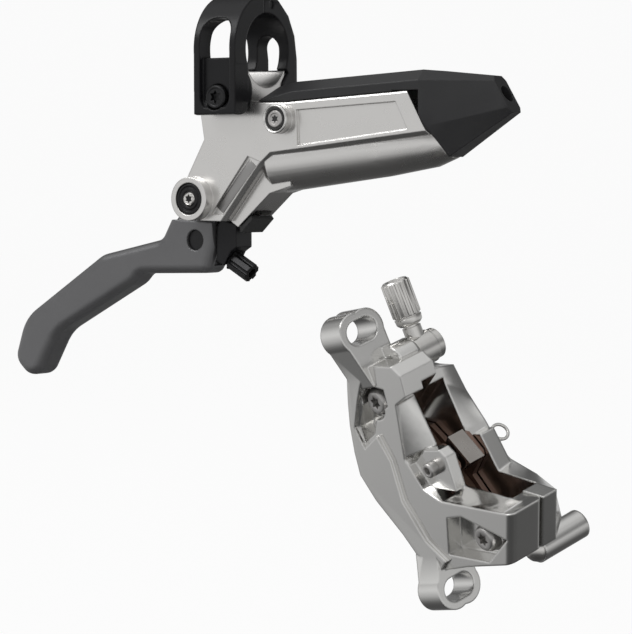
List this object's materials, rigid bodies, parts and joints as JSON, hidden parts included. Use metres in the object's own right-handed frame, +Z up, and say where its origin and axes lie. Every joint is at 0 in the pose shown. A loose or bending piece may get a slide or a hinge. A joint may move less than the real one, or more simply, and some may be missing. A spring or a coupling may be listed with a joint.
{
  "type": "hydraulic disc brake",
  "caption": "Bicycle disc brake set: bar lever with master cylinder and fluid tank, and a caliper with opposed pistons, pads and slotted mounting ears, without its hose.",
  "frame": {"origin": "on the handlebar axis in the middle of the lever's clamp", "axes": "+X along the bar towards the hose end of the lever, +Z up from the lever to the bar, +Y away from the lever's plain outer face"},
  "size_m": [0.2199, 0.0856, 0.1711],
  "materials": {
    "satin_silver": "satin anodised",
    "black_cover": "semi matte black",
    "dark_blade": "dark grey satin",
    "black_plastic": "matte black",
    "rubber": "matte",
    "black_steel": "black oxide",
    "bright_steel": "bright",
    "polished_silver": "polished",
    "piston": "hard anodised",
    "lining": "rough friction compound"
  },
  "bodies": {
    "frame": {"banjo_bolt": "bright_steel", "banjo_fitting": "bright_steel", "banjo_seals": "bright_steel", "bleed_plug": "bright_steel", "bleed_screw": "bright_steel", "bore_retainer": "bright_steel", "caliper_bolts": "bright_steel", "caliper_inner_half": "polished_silver", "caliper_outer_half": "polished_silver", "clamp_bolt": "black_steel", "clamp_front_strap": "black_cover", "clamp_hinge_pin": "black_steel", "clamp_rear_strap": "black_cover", "cover_screws": "black_steel", "hose_nut": "bright_steel", "inner_piston_seals": "rubber", "lever_body": "satin_silver", "lever_boot": "rubber", "lever_hose_nut": "bright_steel", "outer_piston_seals": "rubber", "pad_pin": "bright_steel", "pad_pin_clip": "bright_steel", "pad_spring": "bright_steel", "pivot_bushes": "black_steel", "pivot_pin": "bright_steel", "reservoir_bladder": "rubber", "reservoir_cover": "black_cover", "return_spring": "bright_steel"},
    "cam": {"cam_link": "black_plastic"},
    "blade": {"lever_blade": "dark_blade", "reach_barrel": "black_steel"},
    "knob": {"reach_knob": "black_steel"},
    "master": {"pushrod": "bright_steel", "master_piston": "piston", "primary_cup": "rubber", "secondary_cup": "rubber"},
    "outer_pads": {"outer_pistons": "piston", "outer_pad_plate": "bright_steel", "outer_pad_lining": "lining"},
    "inner_pads": {"inner_pistons": "piston", "inner_pad_plate": "bright_steel", "inner_pad_lining": "lining"}
  },
  "joints": [
    {"name": "lever_pull", "type": "hinge", "parent": "frame", "child": "cam", "pos_m": [-0.0123, 0, -0.0443], "axis": [0, 1, 0], "range_deg": [0, 18], "stiffness_Nm_per_rad": 0.3, "springref_deg": -17.19},
    {"name": "reach_swing", "type": "hinge", "parent": "cam", "child": "blade", "pos_m": [-0.0123, 0, -0.0443], "axis": [0, 1, 0], "range_deg": [0, 6]},
    {"name": "knob_spin", "type": "hinge", "parent": "cam", "child": "knob", "pos_m": [-0.0155, 0, -0.0568], "axis": [0.866, 0, -0.5], "range_deg": [0, 665]},
    {"name": "master_slide", "type": "slide", "parent": "frame", "child": "master", "axis": [0.9945, 0, 0.1045], "range_m": [0, 0.00252], "deforming": ["return_spring"]},
    {"name": "outer_pad_slide", "type": "slide", "parent": "frame", "child": "outer_pads", "axis": [0.2946, 0.8966, 0.3305], "range_m": [0, 0.00071]},
    {"name": "inner_pad_slide", "type": "slide", "parent": "frame", "child": "inner_pads", "axis": [-0.2946, -0.8966, -0.3305], "range_m": [0, 0.00071]}
  ],
  "couplings": [
    {"joint": "knob_spin", "follows": "reach_swing", "ratio": 110},
    {"joint": "master_slide", "follows": "lever_pull", "m_per_rad": 0.007967},
    {"joint": "outer_pad_slide", "follows": "lever_pull", "m_per_rad": 0.002228},
    {"joint": "inner_pad_slide", "follows": "lever_pull", "m_per_rad": 0.002228}
  ]
}
